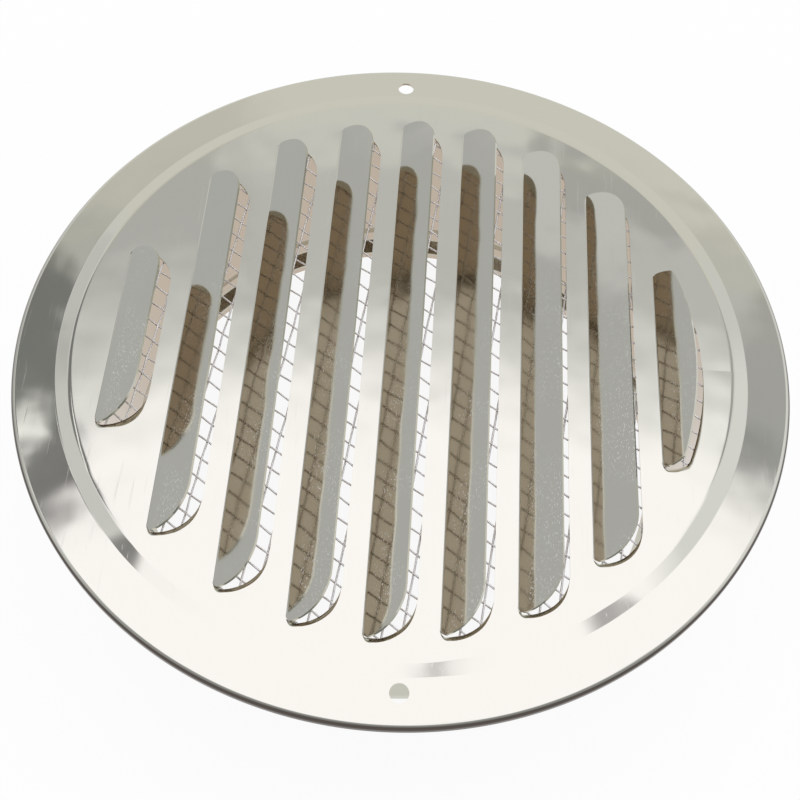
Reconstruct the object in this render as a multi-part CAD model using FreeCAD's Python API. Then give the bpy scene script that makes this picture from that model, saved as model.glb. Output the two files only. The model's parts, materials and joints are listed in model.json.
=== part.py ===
"""Round louvred vent cover: a pressed face plate, an insect mesh and a duct collar.

Millimetres, +Z out of the face. The origin is on the duct axis, at the open end of the collar.
"""
import FreeCAD
import Part
import math
import os

V = FreeCAD.Vector
AXIS = V(0, 0, 1)
ALONG_SLOT = V(0, 1, 0)

# All three pieces are pressed or rolled from one gauge of polished sheet
sheet = 0.6

# Duct collar: a tube that widens towards the plate, with a flat flange there and a bead near its open end
collar_diameter = 148.2
collar_taper = 5.8
collar_depth = 58.0
collar_flange = 3.6
bead_width = 12.0
bead_crest = 3.0
bead_height = 2.3
end_run = 1.5

# Insect mesh: two sets of wires that cross askew, held by a rim between plate and collar
wire_diameter = 0.5
wire_pitches = (4.36, 4.30)
wire_angles = (-34.9, 83.0)
wire_offsets = (-0.57, -0.86)
wires_per_bar = 4
mesh_grip = 2.6
layer_overlap = 0.1

# Face plate: raised panel, sloping step, flange and turned-down lip
panel_margin = 1.5
panel_rise = 1.0
step_width = 3.8
flange_width = 11.2
flange_fall = 0.6
lip_drop = 3.0
lip_roll = 1.5
lip_flats = 2

# Screw holes in the flange, turned a little from the slot direction
hole_diameter = 4.5
hole_from_step = 3.2
hole_count = 2
hole_turn = 2.8

# Louvres: fins cut free on three sides and bent out about a straight line on their left, each to
# its own angle, from left to right. Their ends are bevelled at the bend and rounded beyond
louvre_pitch = 17.5
middle_bend_x = -4.8
fin_width = 12.0
fin_angles = (36.1, 37.0, 38.0, 36.7, 40.4, 40.7, 37.2, 37.1, 46.1)
fin_bend = 0.8
end_width = 1.2
root_bevel = 1.8
cut_gap = 0.2
field_margin = 6.9
field_x = -1.0
field_y = -2.3

# Radii from the duct outwards
collar_bore_radius = collar_diameter / 2 - sheet
collar_top_radius = collar_diameter / 2 + collar_taper
collar_flange_radius = collar_top_radius + collar_flange
mesh_radius = collar_top_radius + mesh_grip
step_inner_radius = collar_flange_radius + panel_margin
step_outer_radius = step_inner_radius + step_width
plate_radius = step_outer_radius + flange_width
hole_circle_radius = step_outer_radius + hole_from_step
field_radius = step_inner_radius - field_margin

# Heights from the face of the panel downwards
panel_face = collar_depth
panel_back = panel_face - sheet
mesh_back = panel_back - 2 * wire_diameter
flange_face = panel_face - panel_rise

# A slot is wider than its fin by the cut, and a fin's corner takes up its end beyond the bevel
slot_width = fin_width + cut_gap
fin_corner = fin_width - end_width


def turned_sheet(corners, side):
    """Sheet on one side (1 left, -1 right) of a folded line, turned about the duct axis."""
    line = Part.makePolygon([V(radius, 0, height) for radius, height in corners])
    section = line.makeOffset2D(side * sheet, join=2, fill=True, openResult=True)
    return section.revolve(V(0, 0, 0), AXIS, 360)


def disc(radius, height, thickness):
    return Part.makeCylinder(radius, thickness, V(0, 0, height))


def half_chord(radius, offset):
    """Half of a circle's chord at a distance from its centre."""
    return math.sqrt(max(radius ** 2 - offset ** 2, 0))


def half_slot(bend_x):
    """Half length of the slot at a bend line, where its end touches the field's edge from inside."""
    from_middle = bend_x - field_x
    bevel_foot = root_bevel + half_chord(field_radius, from_middle)
    bevel_top = half_chord(field_radius, from_middle + end_width)
    corner = fin_corner + half_chord(field_radius - fin_corner, from_middle + end_width)
    middle = half_chord(field_radius, from_middle + slot_width / 2)
    return min(bevel_foot, bevel_top, max(corner, middle))


def louvre_places():
    """Bend line, half slot length and angle of each louvre whose ends have room in the field."""
    steps = math.ceil(field_radius / louvre_pitch)
    lines = [middle_bend_x + step * louvre_pitch for step in range(-steps, steps + 1)]
    lines = [line for line in lines if abs(line - field_x) < field_radius and half_slot(line) > slot_width]
    return [(line, half_slot(line), fin_angles[index % len(fin_angles)]) for index, line in enumerate(lines)]


def louvre_outline(bend_x, corner, half, inset):
    """Flat face right of a bend line, square there and rounded at its free corners, kept in the field."""
    low_corner = Part.makeCircle(corner, V(bend_x + end_width, field_y - half + corner), AXIS, 270, 360)
    high_corner = Part.makeCircle(corner, V(bend_x + end_width, field_y + half - corner), AXIS, 0, 90)
    free_side = Part.makeLine(low_corner.lastVertex().Point, high_corner.firstVertex().Point)
    bend_side = Part.makePolygon([
        high_corner.lastVertex().Point,
        V(bend_x, field_y + half),
        V(bend_x, field_y - half),
        low_corner.firstVertex().Point,
    ])
    outline = Part.Wire([low_corner, free_side, high_corner] + bend_side.Edges)
    field = Part.makeCircle(field_radius - inset, V(field_x, field_y))
    return Part.Face(outline).common(Part.Face(Part.Wire(field)))


def root_bevels(bend_x, half):
    """The two wedges left out of a louvre's square corners at the bend."""
    wedges = []
    for side in (-1, 1):
        end = field_y + side * half
        corners = [(bend_x, end), (bend_x, end - side * root_bevel), (bend_x + end_width, end), (bend_x, end)]
        wedge = Part.Face(Part.makePolygon([V(x, y, mesh_back) for x, y in corners]))
        wedges.append(wedge.extrude(AXIS * fin_width))
    return wedges


def slot_cutter(bend_x, half):
    """Prism of one slot, through the panel and clear of it on both sides."""
    outline = louvre_outline(bend_x, fin_corner + cut_gap, half, 0)
    outline.translate(AXIS * (panel_back - sheet))
    return outline.extrude(AXIS * (3 * sheet)).cut(root_bevels(bend_x, half))


def fin(bend_x, slot_half, angle):
    """The tongue from one slot: a strip curved about its bend line and a flat blade beyond."""
    half = slot_half - cut_gap
    bend_run = math.radians(angle) * fin_bend
    corner_point = V(bend_x, field_y - half, panel_back)
    bend_centre = V(bend_x, 0, panel_face + fin_bend)
    root = Part.makeLine(corner_point, corner_point + AXIS * sheet).extrude(ALONG_SLOT * (2 * half))
    bend = root.revolve(bend_centre, ALONG_SLOT, -angle)
    outline = louvre_outline(bend_x, fin_corner, half, cut_gap)
    outline.translate(AXIS * panel_back)
    blade = outline.cut(Part.makePlane(bend_run, 2 * half, corner_point)).extrude(AXIS * sheet)
    blade.translate(V(-bend_run, 0, 0))
    blade.rotate(bend_centre, ALONG_SLOT, -angle)
    return bend.fuse(blade).cut(root_bevels(bend_x, half))


def screw_hole(index):
    angle = math.radians(90 + hole_turn + index * 360 / hole_count)
    place = V(hole_circle_radius * math.cos(angle), hole_circle_radius * math.sin(angle), mesh_back)
    return Part.makeCylinder(hole_diameter / 2, panel_face - mesh_back, place)


def rolled_edge(index):
    """Radius and height of one corner of the lip's roll, counted from the flange down."""
    angle = math.radians(90 - 90 * index / lip_flats)
    roll_radius = plate_radius - lip_roll
    roll_height = flange_face - flange_fall - lip_roll
    return roll_radius + lip_roll * math.cos(angle), roll_height + lip_roll * math.sin(angle)


def face_plate():
    """Pressed plate with its lip, flange, step and panel, and the louvres lanced out of the panel."""
    corners = [(0, panel_face), (step_inner_radius, panel_face), (step_outer_radius, flange_face)]
    corners += [rolled_edge(index) for index in range(lip_flats + 1)]
    corners += [(plate_radius, flange_face - lip_drop)]
    plate = turned_sheet(corners, -1)
    cutters = [screw_hole(index) for index in range(hole_count)]
    fins = []
    for bend_x, half, angle in louvre_places():
        cutters.append(slot_cutter(bend_x, half))
        fins.append(fin(bend_x, half, angle))
    return plate.cut(cutters).fuse(fins).removeSplitter()


def mesh_bars(pitch, angle, offset, height):
    """Every few wires of one set, as straight bars across the mesh at a height."""
    spacing = pitch * wires_per_bar
    thickness = wire_diameter + layer_overlap / 2
    count = math.ceil(mesh_radius / spacing)
    bars = []
    for index in range(-count, count + 1):
        across = offset + index * spacing
        corner = V(-mesh_radius, across - wire_diameter / 2, height)
        bar = Part.makeBox(2 * mesh_radius, wire_diameter, thickness, corner)
        bar.rotate(V(0, 0, 0), AXIS, angle)
        bars.append(bar)
    return bars


def insect_mesh():
    """One wall: a flat rim and two layers of crossing bars that leave gaps between them."""
    whole = disc(mesh_radius, mesh_back, 2 * wire_diameter)
    rim = whole.cut(disc(collar_top_radius, mesh_back, 2 * wire_diameter))
    heights = (panel_back - wire_diameter - layer_overlap / 2, mesh_back)
    bars = []
    for pitch, angle, offset, height in zip(wire_pitches, wire_angles, wire_offsets, heights):
        bars.extend(mesh_bars(pitch, angle, offset, height))
    return rim.fuse([bar.common(whole) for bar in bars]).removeSplitter()


def collar_bore(height):
    """Inner radius of the tapered tube at a height."""
    return collar_bore_radius + collar_taper * height / mesh_back


def duct_collar():
    """Tapered tube with its flange under the mesh and an outward bead near the open end."""
    bead_low = end_run
    bead_high = end_run + bead_width
    flank = (bead_width - bead_crest) / 2
    crest_radius = collar_bore((bead_low + bead_high) / 2) + bead_height
    corners = [
        (collar_flange_radius, mesh_back),
        (collar_bore(mesh_back), mesh_back),
        (collar_bore(bead_high), bead_high),
        (crest_radius, bead_high - flank),
        (crest_radius, bead_low + flank),
        (collar_bore(bead_low), bead_low),
        (collar_bore(bead_low), 0),
    ]
    return turned_sheet(corners, 1)


os.makedirs("parts", exist_ok=True)
face_plate().exportStep("parts/face_plate.step")
insect_mesh().exportStep("parts/insect_mesh.step")
duct_collar().exportStep("parts/duct_collar.step")
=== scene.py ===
"""Round louvred vent cover in mirror-polished steel, lying face up on a pale floor."""
import bmesh
import bpy
import json
import math
from mathutils import Matrix, Vector


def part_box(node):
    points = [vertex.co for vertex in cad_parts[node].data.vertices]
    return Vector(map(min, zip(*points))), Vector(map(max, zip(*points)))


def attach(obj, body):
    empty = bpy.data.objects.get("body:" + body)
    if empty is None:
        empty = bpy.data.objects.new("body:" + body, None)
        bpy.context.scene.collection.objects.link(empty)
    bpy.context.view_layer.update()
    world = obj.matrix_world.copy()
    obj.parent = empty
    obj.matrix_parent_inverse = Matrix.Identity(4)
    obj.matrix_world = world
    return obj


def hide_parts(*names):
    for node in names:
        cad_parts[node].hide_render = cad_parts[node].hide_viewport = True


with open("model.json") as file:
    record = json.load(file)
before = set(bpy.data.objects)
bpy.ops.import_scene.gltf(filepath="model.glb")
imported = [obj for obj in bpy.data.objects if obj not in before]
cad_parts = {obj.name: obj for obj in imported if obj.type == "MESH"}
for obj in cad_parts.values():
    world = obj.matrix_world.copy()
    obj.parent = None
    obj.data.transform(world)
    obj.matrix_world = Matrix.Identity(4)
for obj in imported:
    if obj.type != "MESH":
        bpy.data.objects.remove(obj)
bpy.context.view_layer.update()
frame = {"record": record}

MM = 0.001

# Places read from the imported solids
plate_low, plate_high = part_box("face_plate")
mesh_low, mesh_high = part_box("insect_mesh")
collar_low, collar_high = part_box("duct_collar")
mounts = {mount["name"]: mount for mount in frame["record"]["mounts"]}

# Sheet gauge and the turned profile of the plate
SHEET = 0.6 * MM
PLATE_RADIUS = plate_high.x
LIP_END = plate_low.z
PANEL_BACK = mesh_high.z
PANEL_FACE = PANEL_BACK + SHEET
PANEL_RISE = 1.0 * MM
STEP_OUTER = PLATE_RADIUS - 11.2 * MM
STEP_INNER = STEP_OUTER - 3.8 * MM
PANEL_EDGE = STEP_INNER - 1.0 * MM
FLANGE_FALL = 0.6 * MM
SHOULDER_BEND = 5.0 * MM
STEP_BEND = 2.0 * MM
LIP_ROLL = 1.5 * MM
HOLE_RADIUS = mounts["screws"]["dims"]["hole_r_mm"] * MM
HOLE_CIRCLE = mounts["screws"]["dims"]["pcd_mm"] / 2 * MM
HOLE_TURN = math.radians(2.8)

# Louvre field, each fin bent to its own angle
FIN_ANGLES = (36.1, 37.0, 38.0, 36.7, 40.4, 40.7, 37.2, 37.1, 46.1)
LOUVRES = len(FIN_ANGLES)
LOUVRE_PITCH = 17.5 * MM
FIRST_BEND = -4.8 * MM - LOUVRE_PITCH * (LOUVRES // 2)
FIN_WIDTH = 12.0 * MM
FIN_BEND = 0.8 * MM
FIN_CORNER = 10.8 * MM
ROOT_CORNER = 1.8 * MM
CUT_GAP = 0.2 * MM
FIELD_RADIUS = STEP_INNER - 6.9 * MM
FIELD_X = -1.0 * MM
FIELD_Y = -2.3 * MM
ROLL_WIDTH = 1.1 * MM
ROLL_DEPTH = 0.35 * MM

# Woven wire cloth. Its wires stray from their lines in slow noise that differs from wire to wire
WIRE_RADIUS = (mesh_high.z - mesh_low.z) / 4
WIRE_MIDDLE = (mesh_high.z + mesh_low.z) / 2
MESH_RADIUS = mesh_high.x
WIRE_PITCHES = (4.36 * MM, 4.30 * MM)
WIRE_ANGLES = (math.radians(-34.9), math.radians(83.0))
WIRE_OFFSETS = (-0.57 * MM, -0.86 * MM)
WIRE_STRAY = 0.25 * MM
STRAY_LUMPS = 60.0
STRAY_APART = 9.0

# Duct collar
COLLAR_FLANGE = collar_high.x
COLLAR_TOP = collar_high.z
COLLAR_TAPER = 5.8 * MM
BEAD_CREST = mounts["collar_bead"]["dims"]["r_mm"] * MM - SHEET
BEAD_HEIGHT = 2.3 * MM
BEAD_WIDTH = 12.0 * MM
BEAD_FLANK = 4.5 * MM
END_RUN = 1.5 * MM
COLLAR_BEND = 1.0 * MM
BEAD_BEND = 3.0 * MM

# Fineness of the meshes
ROUND_STEPS = 360
BEND_STEPS = 8
HOLE_STEPS = 48
ROOT_COLUMNS = 14
FIN_COLUMNS = 32
ROLL_ROWS = 5
WIRE_POINTS = 150
WIRE_SIDES = 6
WELD = 0.002 * MM
CREASE_ANGLE = math.radians(32)
FLATS_WEIGHT = 100

# Camera, from the photograph's viewing angle
CAMERA_PLACE = Vector((3.07, -178.56, 323.06)) * MM
CAMERA_AIM = Vector((0.17, -17.18, 58.0)) * MM
CAMERA_ROLL = math.radians(2.8)
CAMERA_LENS = 55.65
CAMERA_FILM = 36.0
CAMERA_NEAR = 10.0 * MM


class Socket:
    """An output socket of a node tree. Arithmetic on it adds Math nodes to the tree."""

    def __init__(self, source):
        self.source = source

    def node(self, kind, inputs, output=0, **settings):
        return add_node(self.source.id_data, kind, inputs, output, **settings)

    def math(self, operation, *values):
        inputs = dict(enumerate(values))
        return self.node("ShaderNodeMath", inputs, operation=operation)

    def __add__(self, other):
        return self.math("ADD", self, other)

    def __sub__(self, other):
        return self.math("SUBTRACT", self, other)

    def __mul__(self, other):
        return self.math("MULTIPLY", self, other)

    def __truediv__(self, other):
        return self.math("DIVIDE", self, other)

    def __radd__(self, other):
        return self.math("ADD", other, self)

    def __rsub__(self, other):
        return self.math("SUBTRACT", other, self)

    def __rmul__(self, other):
        return self.math("MULTIPLY", other, self)

    def __rtruediv__(self, other):
        return self.math("DIVIDE", other, self)

    def __neg__(self):
        return self.math("MULTIPLY", self, -1.0)

    def least(self, other):
        return self.math("MINIMUM", self, other)

    def most(self, other):
        return self.math("MAXIMUM", self, other)

    def clamp(self):
        return self.least(1.0).most(0.0)

    def root(self):
        """Square root, or 0 of a negative number."""
        above_zero = self.most(0.0)
        return above_zero.math("SQRT", above_zero)

    def sin(self):
        return self.math("SINE", self)

    def cos(self):
        return self.math("COSINE", self)

    def size(self):
        return self.math("ABSOLUTE", self)

    def step(self, low, high):
        """0 below low, 1 above high, smooth between."""
        inputs = {"Value": self, "From Min": low, "From Max": high}
        return self.node("ShaderNodeMapRange", inputs, interpolation_type="SMOOTHSTEP")

    def parts(self):
        """The x, y and z of a vector."""
        return [self.node("ShaderNodeSeparateXYZ", {"Vector": self}, axis) for axis in "XYZ"]


def add_node(tree, kind, inputs=None, output=0, **settings):
    """Adds a node, gives it its settings, then its sockets' values or links, and returns one output."""
    node = tree.nodes.new(kind)
    for name, value in settings.items():
        setattr(node, name, value)
    for key, value in (inputs or {}).items():
        for each in value if isinstance(value, list) else [value]:
            if isinstance(each, Socket):
                tree.links.new(each.source, node.inputs[key])
            else:
                node.inputs[key].default_value = each
    return Socket(node.outputs[output])


def vector(x, y, z):
    """A vector socket from numbers and at least one socket."""
    axes = {"X": x, "Y": y, "Z": z}
    first = next(value for value in axes.values() if isinstance(value, Socket))
    return first.node("ShaderNodeCombineXYZ", axes)


def toward(start, goal, share):
    """A number between two others, at least one of the three a socket."""
    return start + share * (goal - start)


def half_chord(radius, offset):
    """Half of a circle's chord at a distance from its centre, or 0 beyond the circle."""
    return (radius * radius - offset * offset).root()


# Geometry trees
def geometry_tree(name, sizes):
    """An empty geometry tree with one named input for each size, and those inputs as sockets."""
    tree = bpy.data.node_groups.new(name, "GeometryNodeTree")
    tree.interface.new_socket("Geometry", in_out="OUTPUT", socket_type="NodeSocketGeometry")
    for label in sizes:
        tree.interface.new_socket(label, in_out="INPUT", socket_type="NodeSocketFloat")
    entry = tree.nodes.new("NodeGroupInput")
    return tree, {label: Socket(entry.outputs[label]) for label in sizes}


def end_tree(geometry, material):
    """Realizes what a tree has made, gives it a material and sends it to the tree's output."""
    tree = geometry.source.id_data
    solid = geometry.node("GeometryNodeRealizeInstances", {"Geometry": geometry})
    smooth = solid.node("GeometryNodeSetShadeSmooth", {"Geometry": solid})
    dressed = smooth.node("GeometryNodeSetMaterial", {"Geometry": smooth, "Material": material})
    leave = tree.nodes.new("NodeGroupOutput")
    tree.links.new(dressed.source, leave.inputs["Geometry"])


def mesh_from_tree(tree, sizes):
    """Evaluates a geometry tree with its inputs set and returns the result as a plain mesh."""
    carrier = bpy.data.objects.new(tree.name, bpy.data.meshes.new(tree.name))
    bpy.context.scene.collection.objects.link(carrier)
    modifier = carrier.modifiers.new(tree.name, "NODES")
    modifier.node_group = tree
    for item in tree.interface.items_tree:
        if item.in_out == "INPUT":
            modifier[item.identifier] = sizes[item.name]
    graph = bpy.context.evaluated_depsgraph_get()
    mesh = bpy.data.meshes.new_from_object(carrier.evaluated_get(graph))
    bpy.data.objects.remove(carrier)
    return mesh


def remember(geometry, name, value):
    """Stores a value on a geometry's points under a name."""
    inputs = {"Geometry": geometry, "Name": name, "Value": value}
    return geometry.node("GeometryNodeStoreNamedAttribute", inputs)


def recall(tree, name):
    return add_node(tree, "GeometryNodeInputNamedAttribute", {"Name": name})


def place_points(geometry, position):
    return geometry.node("GeometryNodeSetPosition", {"Geometry": geometry, "Position": position})


def join(*geometries):
    return geometries[0].node("GeometryNodeJoinGeometry", {"Geometry": list(geometries)})


def weld(geometry):
    return geometry.node("GeometryNodeMergeByDistance", {"Geometry": geometry, "Distance": WELD})


LOUVRE_SIZES = {
    "First bend": FIRST_BEND,
    "Pitch": LOUVRE_PITCH,
    "Fin width": FIN_WIDTH,
    "Fin bend": FIN_BEND,
    "Fin corner": FIN_CORNER,
    "Root corner": ROOT_CORNER,
    "Cut gap": CUT_GAP,
    "Field radius": FIELD_RADIUS,
    "Field X": FIELD_X,
    "Field Y": FIELD_Y,
    "Panel edge": PANEL_EDGE,
    "Panel face": PANEL_FACE,
    "Roll width": ROLL_WIDTH,
    "Roll depth": ROLL_DEPTH,
}
for number, angle in enumerate(FIN_ANGLES):
    LOUVRE_SIZES[f"Fin angle {number}"] = math.radians(angle)


def fin_angle(tree, size):
    """The angle of the fin with a point's index, counted from the left."""
    switch = tree.nodes.new("GeometryNodeIndexSwitch")
    switch.data_type = "FLOAT"
    while len(switch.index_switch_items) < LOUVRES:
        switch.index_switch_items.new()
    tree.links.new(add_node(tree, "GeometryNodeInputIndex").source, switch.inputs["Index"])
    for number in range(LOUVRES):
        tree.links.new(size[f"Fin angle {number}"].source, switch.inputs[number + 1])
    return Socket(switch.outputs[0])


def louvre_grids(tree, size, rows):
    """One grid for each louvre. Its columns run from the bend line round a corner to the free edge."""
    start = vector(size["First bend"], 0.0, 0.0)
    offset = vector(size["Pitch"], 0.0, 0.0)
    places = {"Count": LOUVRES, "Start Location": start, "Offset": offset}
    line = add_node(tree, "GeometryNodeMeshLine", places)
    grid_size = {"Size X": 1.0, "Size Y": 1.0, "Vertices X": FIN_COLUMNS + 1, "Vertices Y": rows}
    grid = add_node(tree, "GeometryNodeMeshGrid", grid_size)
    here = add_node(tree, "GeometryNodeInputPosition").parts()
    line = remember(line, "bend", here[0])
    line = remember(line, "fin_angle", fin_angle(tree, size))
    grid = remember(grid, "column", (here[0] + 0.5) * float(FIN_COLUMNS))
    grid = remember(grid, "along", here[1] * 2.0)
    grids = line.node("GeometryNodeInstanceOnPoints", {"Points": line, "Instance": grid})
    return grids.node("GeometryNodeRealizeInstances", {"Geometry": grids})


def louvre_end(tree, size, widen, trim):
    """A louvre's end at each column: distance from the bend line, half length, direction outwards
    and share of the rolled edge. It is a small arc at the bend line and a large one beyond."""
    root, corner = size["Root corner"], size["Fin corner"]
    straight = size["Fin width"] - corner
    drop = half_chord(corner - root, root - straight)
    meet = drop.math("ARCTAN2", drop, root - straight)
    column = recall(tree, "column")
    near = (column / ROOT_COLUMNS).clamp()
    far = ((column - ROOT_COLUMNS) / (FIN_COLUMNS - ROOT_COLUMNS)).clamp()
    in_root = column.math("LESS_THAN", column, ROOT_COLUMNS + 0.5)
    root_swing = math.pi - (math.pi - meet) * near
    far_swing = meet * (1.0 - far)
    root_flat = root + root * root_swing.cos()
    far_flat = straight + corner * far_swing.cos() + widen * far
    root_fall = corner - drop - root * root_swing.sin()
    far_fall = corner - corner * far_swing.sin()
    flat = toward(far_flat, root_flat, in_root)
    fall = toward(far_fall, root_fall, in_root)
    swing = toward(far_swing, root_swing, in_root)

    # The roll fades out at the bend line and along the free edge
    roll = near.step(0.2, 1.0) * (1.0 - far.step(0.45, 0.95))

    # It touches the field's edge from inside, and never passes it
    slot_width = size["Fin width"] + size["Cut gap"]
    field = size["Field radius"]
    from_middle = recall(tree, "bend") - size["Field X"]
    root_end = root + half_chord(field, from_middle)
    straight_end = half_chord(field, from_middle + straight)
    corner_end = corner + half_chord(field - corner, from_middle + straight)
    middle_end = half_chord(field, from_middle + slot_width / 2.0)
    half = root_end.least(straight_end).least(corner_end.most(middle_end)) - trim
    radius = field - trim
    flat = flat.least(radius - from_middle)
    rim = half_chord(radius, from_middle + flat)
    return flat, (half - fall).least(rim), swing, roll


def inner_row_share(size, along, half):
    """Brings the inner rows of a slot's grid level with the ends of its fin."""
    inner_row = along.size().math("LESS_THAN", along.size(), 0.5)
    return 1.0 - inner_row * size["Cut gap"] / half


def fin_sheets(tree, size):
    """The fins: each a flat sheet bent up about its bend line."""
    fins = louvre_grids(tree, size, 2)
    flat, half, _, _ = louvre_end(tree, size, 0.0, size["Cut gap"])
    angle = recall(tree, "fin_angle")
    bend_run = size["Fin bend"] * angle
    blade = (flat - bend_run).most(0.0)
    tilt = angle * (flat / bend_run).clamp()
    x = recall(tree, "bend") + size["Fin bend"] * tilt.sin() + blade * tilt.cos()
    y = size["Field Y"] + recall(tree, "along") * half
    z = size["Panel face"] + size["Fin bend"] * (1.0 - tilt.cos()) + blade * tilt.sin()
    return weld(place_points(fins, vector(x, y, z)))


def slot_sheets(tree, size):
    """The openings in the panel, flat, each with the roll at its lower end."""
    slots = louvre_grids(tree, size, 4)
    flat, half, swing, roll = louvre_end(tree, size, size["Cut gap"], 0.0)
    along = recall(tree, "along")
    grow = roll * size["Roll width"] * along.math("LESS_THAN", along, 0.0)
    outer_half = half * inner_row_share(size, along, half) + grow * swing.sin()
    x = recall(tree, "bend") + flat + grow * swing.cos()
    y = size["Field Y"] + along.math("SIGN", along) * outer_half
    return weld(place_points(slots, vector(x, y, 0.0)))


def rolled_ends(tree, size):
    """Edges of the panel that roll down into the slots at their lower ends."""
    rolls = louvre_grids(tree, size, ROLL_ROWS)
    flat, half, swing, roll = louvre_end(tree, size, size["Cut gap"], 0.0)
    inward = recall(tree, "along") * 0.5 + 0.5
    grow = roll * size["Roll width"] * (1.0 - inward)
    x = recall(tree, "bend") + flat + grow * swing.cos()
    y = size["Field Y"] - half - grow * swing.sin()
    z = size["Panel face"] - roll * size["Roll depth"] * (inward * inward)
    return weld(place_points(rolls, vector(x, y, z)))


def louvred_panel(material):
    """The flat panel with its slots, and the fins joined to the straight side of each slot."""
    tree, size = geometry_tree("louvred_panel", LOUVRE_SIZES)
    slots = slot_sheets(tree, size)
    faces = add_node(tree, "GeometryNodeInputMeshEdgeNeighbors")
    border = faces.math("LESS_THAN", faces, 1.5)
    outlines = slots.node("GeometryNodeMeshToCurve", {"Mesh": slots, "Selection": border})
    circle = {"Resolution": ROUND_STEPS, "Radius": size["Panel edge"]}
    edge = add_node(tree, "GeometryNodeCurvePrimitiveCircle", circle)
    curves = join(edge, outlines)
    panel = curves.node("GeometryNodeFillCurve", {"Curve": curves})
    here = add_node(tree, "GeometryNodeInputPosition").parts()
    panel = place_points(panel, vector(here[0], here[1], size["Panel face"]))
    end_tree(weld(join(panel, rolled_ends(tree, size), fin_sheets(tree, size))), material)
    return mesh_from_tree(tree, LOUVRE_SIZES)


CLOTH_SIZES = {
    "Wire radius": WIRE_RADIUS,
    "Middle height": WIRE_MIDDLE,
    "Cloth radius": MESH_RADIUS,
    "Stray": WIRE_STRAY,
}


def wire_set(tree, size, own, other, rise):
    """Wires of one direction, each over and under the wires of the other direction in turn."""
    pitch, angle, offset = WIRE_PITCHES[own], WIRE_ANGLES[own], WIRE_OFFSETS[own]
    each_side = int((MESH_RADIUS - abs(offset)) / pitch)
    first = offset - each_side * pitch
    places = {"Count": 2 * each_side + 1, "Start Location": (0, first, 0), "Offset": (0, pitch, 0)}
    line = add_node(tree, "GeometryNodeMeshLine", places)
    here = add_node(tree, "GeometryNodeInputPosition").parts()
    line = remember(line, "across", here[1])
    wire = add_node(tree, "GeometryNodeCurvePrimitiveLine", {"Start": (0, 0, 0), "End": (1, 0, 0)})
    wire = wire.node("GeometryNodeResampleCurve", {"Curve": wire, "Count": WIRE_POINTS})
    wires = line.node("GeometryNodeInstanceOnPoints", {"Points": line, "Instance": wire})
    wires = wires.node("GeometryNodeRealizeInstances", {"Geometry": wires})

    across = recall(tree, "across")
    reach = half_chord(size["Cloth radius"], across)
    along = (add_node(tree, "GeometryNodeSplineParameter") * 2.0 - 1.0) * reach
    x = along * math.cos(angle) - across * math.sin(angle)
    y = along * math.sin(angle) + across * math.cos(angle)
    other_angle = WIRE_ANGLES[other]
    other_across = y * math.cos(other_angle) - x * math.sin(other_angle)
    crossing = (other_across - WIRE_OFFSETS[other]) / WIRE_PITCHES[other]
    number = (across - offset) / pitch
    lift = ((crossing + number) * math.pi).cos() * size["Wire radius"] * rise
    stray = {"Vector": vector(x, y, across * STRAY_APART), "Scale": STRAY_LUMPS, "Detail": 1.0}
    shift = add_node(tree, "ShaderNodeTexNoise", stray, "Color").parts()
    x = x + (shift[0] - 0.5) * 2.0 * size["Stray"]
    y = y + (shift[1] - 0.5) * 2.0 * size["Stray"]
    return place_points(wires, vector(x, y, size["Middle height"] + lift))


def woven_cloth(material):
    """Round piece of plain-woven wire cloth, its two sets of wires crossing askew."""
    tree, size = geometry_tree("woven_cloth", CLOTH_SIZES)
    wires = join(wire_set(tree, size, 0, 1, 1.0), wire_set(tree, size, 1, 0, -1.0))
    circle = {"Resolution": WIRE_SIDES, "Radius": size["Wire radius"]}
    section = add_node(tree, "GeometryNodeCurvePrimitiveCircle", circle)
    sweep = {"Curve": wires, "Profile Curve": section, "Fill Caps": True}
    end_tree(wires.node("GeometryNodeCurveToMesh", sweep), material)
    return mesh_from_tree(tree, CLOTH_SIZES)


# Turned sheet
def rounded(corners, bends):
    """Points of a line through (radius, height) corners, with each inner corner rounded."""
    corners = [Vector(corner) for corner in corners]
    points = [corners[0]]
    for before, corner, after, bend in zip(corners, corners[1:], corners[2:], bends):
        back = (before - corner).normalized()
        ahead = (after - corner).normalized()
        half_angle = back.angle(ahead) / 2
        centre = corner + (back + ahead).normalized() * bend / math.sin(half_angle)
        enter = corner + back * bend / math.tan(half_angle) - centre
        turn = math.pi - 2 * half_angle
        if enter.cross(ahead) < 0:
            turn = -turn
        for step in range(BEND_STEPS + 1):
            points.append(centre + Matrix.Rotation(turn * step / BEND_STEPS, 2) @ enter)
    points.append(corners[-1])
    return points


def turned_ring(mesh, radius, height, steps=ROUND_STEPS, middle=(0.0, 0.0)):
    """Vertices of a level circle."""
    ring = []
    for step in range(steps):
        angle = 2 * math.pi * step / steps
        place = (middle[0] + radius * math.cos(angle), middle[1] + radius * math.sin(angle), height)
        ring.append(mesh.verts.new(place))
    return ring


def band(mesh, inner, outer):
    """Faces between two rings of as many vertices."""
    for step in range(len(inner)):
        after = (step + 1) % len(inner)
        mesh.faces.new((inner[step], outer[step], outer[after], inner[after]))


def loop_edges(mesh, ring):
    """New edges round a ring that has none."""
    return [mesh.edges.new((ring[step - 1], ring[step])) for step in range(len(ring))]


def ring_edges(mesh, ring):
    """Edges of a ring that already has faces on one side."""
    return [mesh.edges.get((ring[step - 1], ring[step])) for step in range(len(ring))]


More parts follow.
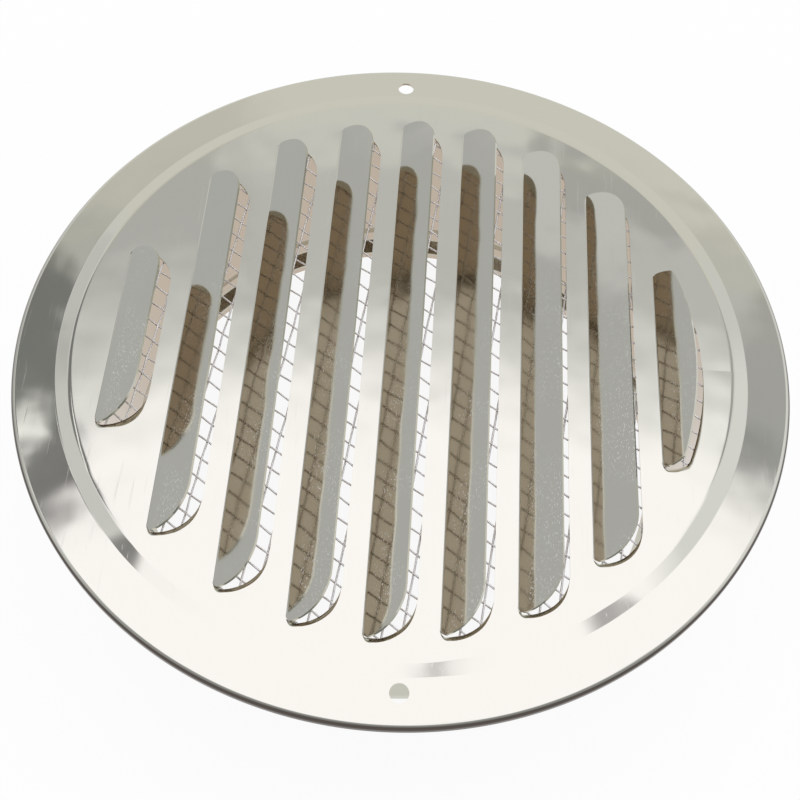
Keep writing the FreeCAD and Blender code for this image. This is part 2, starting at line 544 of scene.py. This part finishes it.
def pressed_plate(panel):
    """The whole face sheet: the louvred panel with step, flange, screw holes and lip around it."""
    flange_face = PANEL_FACE - PANEL_RISE
    corners = [
        (PANEL_EDGE, PANEL_FACE),
        (STEP_INNER, PANEL_FACE),
        (STEP_OUTER, flange_face),
        (PLATE_RADIUS, flange_face - FLANGE_FALL),
        (PLATE_RADIUS, LIP_END),
    ]
    profile = rounded(corners, [SHOULDER_BEND, STEP_BEND, LIP_ROLL])
    mesh = bmesh.new()
    rings = [turned_ring(mesh, point.x, point.y) for point in profile]
    flange_start = 2 * (BEND_STEPS + 1)
    for index in range(len(rings) - 1):
        if index != flange_start:
            band(mesh, rings[index], rings[index + 1])

    # The flange is one sloping face, filled round its screw holes
    low, high = profile[flange_start + 1], profile[flange_start]
    slope = (low.y - high.y) / (low.x - high.x)
    edges = [edge for ring in rings[flange_start:flange_start + 2] for edge in ring_edges(mesh, ring)]
    for side in (1, -1):
        middle = (-side * HOLE_CIRCLE * math.sin(HOLE_TURN), side * HOLE_CIRCLE * math.cos(HOLE_TURN))
        hole = turned_ring(mesh, HOLE_RADIUS, 0.0, HOLE_STEPS, middle)
        for vertex in hole:
            vertex.co.z = high.y + slope * (vertex.co.xy.length - high.x)
        edges += loop_edges(mesh, hole)
    bmesh.ops.triangle_fill(mesh, edges=edges, use_beauty=True, normal=(0, 0, 1))
    mesh.from_mesh(panel)
    return mesh


def beaded_collar():
    """Duct side of the collar: flange, tapered wall and the bead near the open end."""
    bead_top = END_RUN + BEAD_WIDTH
    bead_bore = BEAD_CREST - BEAD_HEIGHT

    def bore(height):
        return bead_bore + COLLAR_TAPER * (height - (END_RUN + bead_top) / 2) / COLLAR_TOP

    corners = [
        (COLLAR_FLANGE, COLLAR_TOP),
        (bore(COLLAR_TOP), COLLAR_TOP),
        (bore(bead_top), bead_top),
        (BEAD_CREST, bead_top - BEAD_FLANK),
        (BEAD_CREST, END_RUN + BEAD_FLANK),
        (bore(END_RUN), END_RUN),
        (bore(END_RUN), 0.0),
    ]
    mesh = bmesh.new()
    profile = rounded(corners, [COLLAR_BEND] + [BEAD_BEND] * 4)
    rings = [turned_ring(mesh, point.x, point.y) for point in profile]
    for inner, outer in zip(rings, rings[1:]):
        band(mesh, outer, inner)
    return mesh


def whole_piece(name, mesh):
    """An object of one mesh, at the origin."""
    piece = bpy.data.objects.new(name, mesh)
    bpy.context.scene.collection.objects.link(piece)
    return piece


def keep_result(piece):
    """Turns what an object's modifiers make into its own mesh."""
    graph = bpy.context.evaluated_depsgraph_get()
    data = bpy.data.meshes.new_from_object(piece.evaluated_get(graph))
    piece.modifiers.clear()
    piece.data = data


def sheet_metal(name, mesh, material):
    """An object with the sheet's real gauge behind its face, and flats that stay flat in reflections."""
    bmesh.ops.remove_doubles(mesh, verts=mesh.verts, dist=WELD)
    data = bpy.data.meshes.new(name)
    mesh.to_mesh(data)
    mesh.free()
    data.materials.clear()
    data.materials.append(material)
    piece = whole_piece(name, data)
    gauge = piece.modifiers.new("gauge", "SOLIDIFY")
    gauge.thickness = SHEET
    gauge.offset = -1.0
    keep_result(piece)
    piece.data.polygons.foreach_set("use_smooth", [True] * len(piece.data.polygons))
    piece.data.set_sharp_from_angle(angle=CREASE_ANGLE)
    flats = piece.modifiers.new("flats", "WEIGHTED_NORMAL")
    flats.weight = FLATS_WEIGHT
    flats.keep_sharp = True
    keep_result(piece)
    return piece


# Finishes. Lumps are how many spots of a pattern fill a metre
PLATE_COLOR = (0.566, 0.561, 0.485)
# Tan painted on the faces toward the duct: a painted warm reflection, not the steel's own colour
PAINTED_TAN_REFLECTION = (0.545, 0.462, 0.375)
# Near black painted on the lip's outer wall: a painted dark reflection of the shade under the plate
PAINTED_DARK_REFLECTION = (0.09, 0.075, 0.065)
DUST_COLOR = (0.85, 0.85, 0.83)
POLISH = 0.06
SMEAR_LUMPS = 35.0
SCRATCH_DRAW = 0.03
DUST_DRAW = 0.45
DUST_LUMPS = 3000.0
DUST_PATCH_LUMPS = 60.0
DUST_COVER = 0.5

# Waves of the sheet, and the soft bumps where each bend line ends
PLATE_WAVE = 0.4 * MM
COLLAR_WAVE = 0.3 * MM
WAVE_LUMPS = 26.0
FINE_WAVE_LUMPS = 75.0
RING_LUMPS = 150.0
BUMP_REACH = 4.5 * MM
BUMP_OFFSET = 3.0 * MM
BUMP_RISE = 0.05 * MM

# Wire, from its dull spots to its bright ones
WIRE_COLOR = (0.93, 0.92, 0.89)
WIRE_SHADES = (0.82, 1.12)
WIRE_METAL = 0.3
WIRE_LUMPS = 160.0
WIRE_GRAIN_LUMPS = 900.0


def finish_tree(name):
    """A new material's tree, its surface shader and the object's own coordinates."""
    material = bpy.data.materials.new(name)
    material.use_nodes = True
    tree = material.node_tree
    shader = tree.nodes["Principled BSDF"]
    place = add_node(tree, "ShaderNodeTexCoord", output="Object")
    return material, shader, place


def link(value, shader, name):
    """Feeds a socket into one of a shader's inputs."""
    value.source.id_data.links.new(value.source, shader.inputs[name])


def noise(place, lumps, detail=2.0):
    """Noise from 0 to 1 with about a given number of lumps to the metre."""
    return place.node("ShaderNodeTexNoise", {"Vector": place, "Scale": lumps, "Detail": detail})


def stretched(place, along, turn):
    """Coordinates drawn out along the slots, or along a line turned from them."""
    inputs = {"Vector": place, "Rotation": (0.0, 0.0, turn), "Scale": (1.0, along, 1.0)}
    return place.node("ShaderNodeMapping", inputs)


def mixed(share, first, second):
    """A colour between two colours, each a triple of numbers or a socket."""
    ends = [end if isinstance(end, Socket) else (*end, 1.0) for end in (first, second)]
    return share.node("ShaderNodeMix", {0: share, 6: ends[0], 7: ends[1]}, 2, data_type="RGBA")


def scratches(place, turn, lumps, rarity):
    """Fine straight scratches along a turned line, fewer the nearer their rarity is to 1."""
    return noise(stretched(place, SCRATCH_DRAW, turn), lumps).step(rarity, rarity + 0.08)


def end_bumps(x, y):
    """Soft bumps, 1 at their tops, a little beyond both ends of each bend line."""
    steps = (x - FIRST_BEND) / LOUVRE_PITCH
    bend = steps.math("ROUND", steps) * LOUVRE_PITCH + FIRST_BEND
    beside = x - bend
    beyond = (y - FIELD_Y).size() - half_chord(FIELD_RADIUS, bend - FIELD_X) - BUMP_OFFSET
    spread = (beside * beside + beyond * beyond) / -(BUMP_REACH ** 2)
    return spread.math("EXPONENT", spread)


def polished_steel(name, wave):
    """Mirror finish with a slight wave, smears, fine scratches and dust on what stands out of the face.
    Surfaces that face the duct are duller and carry a painted tan reflection, and the lip's outer edge
    carries a painted dark reflection."""
    material, shader, place = finish_tree(name)
    x, y, z = place.parts()
    facing = place.node("ShaderNodeTexCoord", {}, "Normal").parts()
    upward = facing[2].step(0.2, 0.5)
    reach = (x * x + y * y).root().most(MM)
    inward = -(facing[0] * x + facing[1] * y) / reach
    # Mask of the faces toward the duct. They get a painted tan reflection and a little more roughness
    inside = (-facing[2]).step(0.1, 0.5).most(inward.step(0.1, 0.5) * (1.0 - upward))
    raised = z.step(PANEL_FACE + 0.5 * MM, PANEL_FACE + 2.0 * MM) * upward
    # Mask of the lip's outer wall, where the painted dark reflection goes
    edge = reach.step(PLATE_RADIUS - 1.0 * MM, PLATE_RADIUS - 0.6 * MM) * (1.0 - facing[2].step(0.7, 0.9))

    # Dust lies in patches on the fins, more of it towards their lower ends
    patches = noise(place, DUST_PATCH_LUMPS, 1.0).step(0.35, 0.6) * y.step(60.0 * MM, -40.0 * MM)
    specks = noise(stretched(place, DUST_DRAW, 0.4), DUST_LUMPS, 1.0).step(0.58, 0.7)
    dust = specks * patches * raised
    # Painted reflection: tan on the faces toward the duct
    tint = mixed(inside, PLATE_COLOR, PAINTED_TAN_REFLECTION)
    # Painted dark reflection on the lip's outer wall
    tint = mixed(edge, tint, PAINTED_DARK_REFLECTION)
    tint = mixed(dust * DUST_COVER, tint, DUST_COLOR)
    link(tint, shader, "Base Color")
    link(1.0 - dust * 0.3, shader, "Metallic")

    smear = noise(place, SMEAR_LUMPS, 4.0).step(0.35, 0.8)
    scratch = scratches(place, 0.3, 1900.0, 0.66).most(scratches(place, -0.5, 2100.0, 0.67))
    link(smear * 0.05 + POLISH + scratch * 0.08 + dust * 0.25 + inside * 0.05, shader, "Roughness")

    # Slow waves of the sheet with faint rings from pressing, and the bumps on its flat parts
    rings = noise(vector(reach, 0.0, 0.0), RING_LUMPS, 1.0)
    waves = noise(place, WAVE_LUMPS) + noise(place, FINE_WAVE_LUMPS, 1.0) * 0.2 + rings * 0.04
    height = waves * wave + end_bumps(x, y) * (1.0 - raised) * BUMP_RISE
    ripple = place.node("ShaderNodeBump", {"Strength": 1.0, "Distance": 1.0, "Height": height})
    link(ripple, shader, "Normal")
    return material


def drawn_wire():
    """Bright wire that has dulled a little."""
    material, shader, place = finish_tree("drawn_wire")
    shader.inputs["Metallic"].default_value = WIRE_METAL
    dull, bright = [[shade * part for part in WIRE_COLOR] for shade in WIRE_SHADES]
    link(mixed(noise(place, WIRE_LUMPS), dull, bright), shader, "Base Color")
    link(noise(place, WIRE_GRAIN_LUMPS) * 0.2 + 0.25, shader, "Roughness")
    return material


# Studio. A light level of 1 is white
FLOOR_REACH = 3.0
FLOOR_DARK = (0.9, 0.9, 0.9)
FLOOR_PALE = (0.92, 0.92, 0.92)
FLOOR_LUMPS = 3.0
FLOOR_WHITE = 0.92
ROOM_LEVEL = 0.98
CEILING_LEVEL = 1.7
CAMERA_SIDE_LEVEL = 0.5
WALL_TINT = (0.975, 0.985, 1.04)
CEILING_TINT = (0.99, 0.966, 1.06)
AHEAD_TINT = (0.995, 0.99, 0.97)


def seen_directly(tree):
    """1 for camera, glossy and transmission rays, 0 for the diffuse rays that carry light about."""
    path = tree.nodes.new("ShaderNodeLightPath")
    names = ("Is Camera Ray", "Is Glossy Ray", "Is Transmission Ray")
    rays = [Socket(path.outputs[name]) for name in names]
    return rays[0].most(rays[1]).most(rays[2])


def pale_floor():
    """A wide matt floor that is seen white and still takes the object's shadow."""
    material = bpy.data.materials.new("pale_floor")
    material.use_nodes = True
    tree = material.node_tree
    tree.nodes.clear()
    place = add_node(tree, "ShaderNodeTexCoord", output="Object")
    color = mixed(noise(place, FLOOR_LUMPS), FLOOR_DARK, FLOOR_PALE)
    matt = add_node(tree, "ShaderNodeBsdfDiffuse", {"Color": color})
    bright = add_node(tree, "ShaderNodeEmission", {"Color": (1, 1, 1, 1), "Strength": 1.0})
    share = seen_directly(tree) * FLOOR_WHITE
    surface = share.node("ShaderNodeMixShader", {0: share, 1: matt, 2: bright})
    leave = tree.nodes.new("ShaderNodeOutputMaterial")
    link(surface, leave, "Surface")
    mesh = bpy.data.meshes.new("floor")
    reach = FLOOR_REACH
    corners = [(-reach, -reach, 0), (reach, -reach, 0), (reach, reach, 0), (-reach, reach, 0)]
    mesh.from_pydata(corners, [], [(0, 1, 2, 3)])
    mesh.materials.append(material)
    floor = whole_piece("floor", mesh)


def between(value, low, high, soft):
    """1 from low to high, 0 outside, with soft borders."""
    return value.step(low - soft, low + soft) * (1.0 - value.step(high - soft, high + soft))


def studio_world():
    """A soft studio all round, by compass bearing from ahead and by height, both in degrees.
    A bearing to the right is above 0. Each patch takes the level so far to one of its own."""
    world = bpy.data.worlds.new("studio")
    bpy.context.scene.world = world
    world.use_nodes = True
    tree = world.node_tree
    tree.nodes.clear()
    ahead = add_node(tree, "ShaderNodeTexCoord", output="Generated").parts()
    bearing = ahead[0].math("ARCTAN2", ahead[0], ahead[1]) * (180 / math.pi)
    height = ahead[2].math("ARCSINE", ahead[2]) * (180 / math.pi)

    def patch(left, right, low, high, soft):
        return between(bearing, left, right, soft) * between(height, low, high, soft)

    # Ahead: a grey strip under the ceiling
    level = toward(ROOM_LEVEL, 0.82, patch(-14.0, 13.0, 47.6, 54.0, 0.8))

    # Right: the strip goes on, darker to its end, then a bright window
    level = toward(level, 0.82, patch(13.0, 30.0, 43.0, 53.0, 1.2))
    level = toward(level, 0.64, patch(8.0, 18.5, 45.3, 49.2, 0.9))
    level = toward(level, 0.62, patch(30.0, 42.0, 43.0, 53.0, 1.5))
    level = toward(level, 1.15, patch(47.0, 100.0, 20.0, 62.0, 5.0))

    # Left: a grey wall, and further round a darker one with a slanted lighter board
    level = toward(level, 0.86, patch(-31.0, -13.0, 33.0, 43.0, 2.0))
    level = toward(level, 0.72, patch(-31.0, -13.0, 43.0, 52.5, 2.0))
    level = toward(level, 0.68, patch(-90.0, -44.0, -20.0, 38.0, 3.0))
    slanted = (bearing + height * 0.18).step(-46.8, -45.8)
    level = toward(level, 0.88, patch(-60.0, -38.0, 11.0, 36.0, 1.0) * slanted)

    # Ceiling, lower over part of the right
    ceiling = (height + between(bearing, 20.0, 33.0, 3.0) * 1.5).step(53.5, 60.5)
    level = toward(level, CEILING_LEVEL, ceiling)

    # Where walls meet the ceiling: a shade on the right, a dark one on the left with a lit slit
    # and a post beside it, and two faint ones far to the right
    level = toward(level, 0.5, patch(28.0, 44.0, 52.5, 56.0, 0.8))
    level = toward(level, 0.3, patch(-60.0, -31.0, 44.0, 60.0, 1.2))
    level = toward(level, 1.6, patch(-62.0, -39.5, 53.3, 55.8, 0.6))
    level = toward(level, 0.35, patch(-90.0, -79.0, 55.0, 59.0, 1.0))
    level = toward(level, 0.7, patch(88.0, 97.0, 61.0, 66.0, 1.5))
    level = toward(level, 0.75, patch(125.0, 165.0, 77.5, 79.0, 1.0))

    # The camera's side of the room
    behind = 1.0 - between(bearing, -100.0, 100.0, 20.0)
    level = toward(level, CAMERA_SIDE_LEVEL, behind * between(height, 26.0, 60.0, 7.0))

    # The wall ahead is a little yellow and the ceiling a little pink
    warm = between(bearing, -35.0, 35.0, 4.0) * (1.0 - height.step(43.0, 49.0))
    color = mixed(height.step(54.0, 60.0), WALL_TINT, CEILING_TINT)
    color = mixed(warm, color, AHEAD_TINT)
    sky = add_node(tree, "ShaderNodeBackground", {"Color": color, "Strength": level})
    leave = tree.nodes.new("ShaderNodeOutputWorld")
    link(sky, leave, "Surface")


def photo_camera():
    """The camera at the photograph's viewing angle."""
    data = bpy.data.cameras.new("camera")
    data.lens = CAMERA_LENS
    data.sensor_width = CAMERA_FILM
    data.sensor_fit = "HORIZONTAL"
    data.clip_start = CAMERA_NEAR
    camera = bpy.data.objects.new("camera", data)
    bpy.context.scene.collection.objects.link(camera)
    aim = (CAMERA_AIM - CAMERA_PLACE).to_track_quat("-Z", "Y").to_matrix().to_4x4()
    camera.matrix_world = Matrix.Translation(CAMERA_PLACE) @ aim @ Matrix.Rotation(CAMERA_ROLL, 4, "Z")
    bpy.context.scene.camera = camera


plate_steel = polished_steel("polished_plate", PLATE_WAVE)
collar_steel = polished_steel("polished_collar", COLLAR_WAVE)

plate = sheet_metal("polished_plate", pressed_plate(louvred_panel(plate_steel)), plate_steel)
collar = sheet_metal("beaded_collar", beaded_collar(), collar_steel)
cloth = whole_piece("woven_cloth", woven_cloth(drawn_wire()))

for piece, node, slot in (
    (plate, "face_plate", "polished_plate"),
    (collar, "duct_collar", "polished_collar"),
    (cloth, "insect_mesh", "mesh_wire"),
):
    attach(piece, "root")
    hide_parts(node)

pale_floor()
studio_world()
photo_camera()
bpy.context.scene.view_settings.view_transform = "Standard"
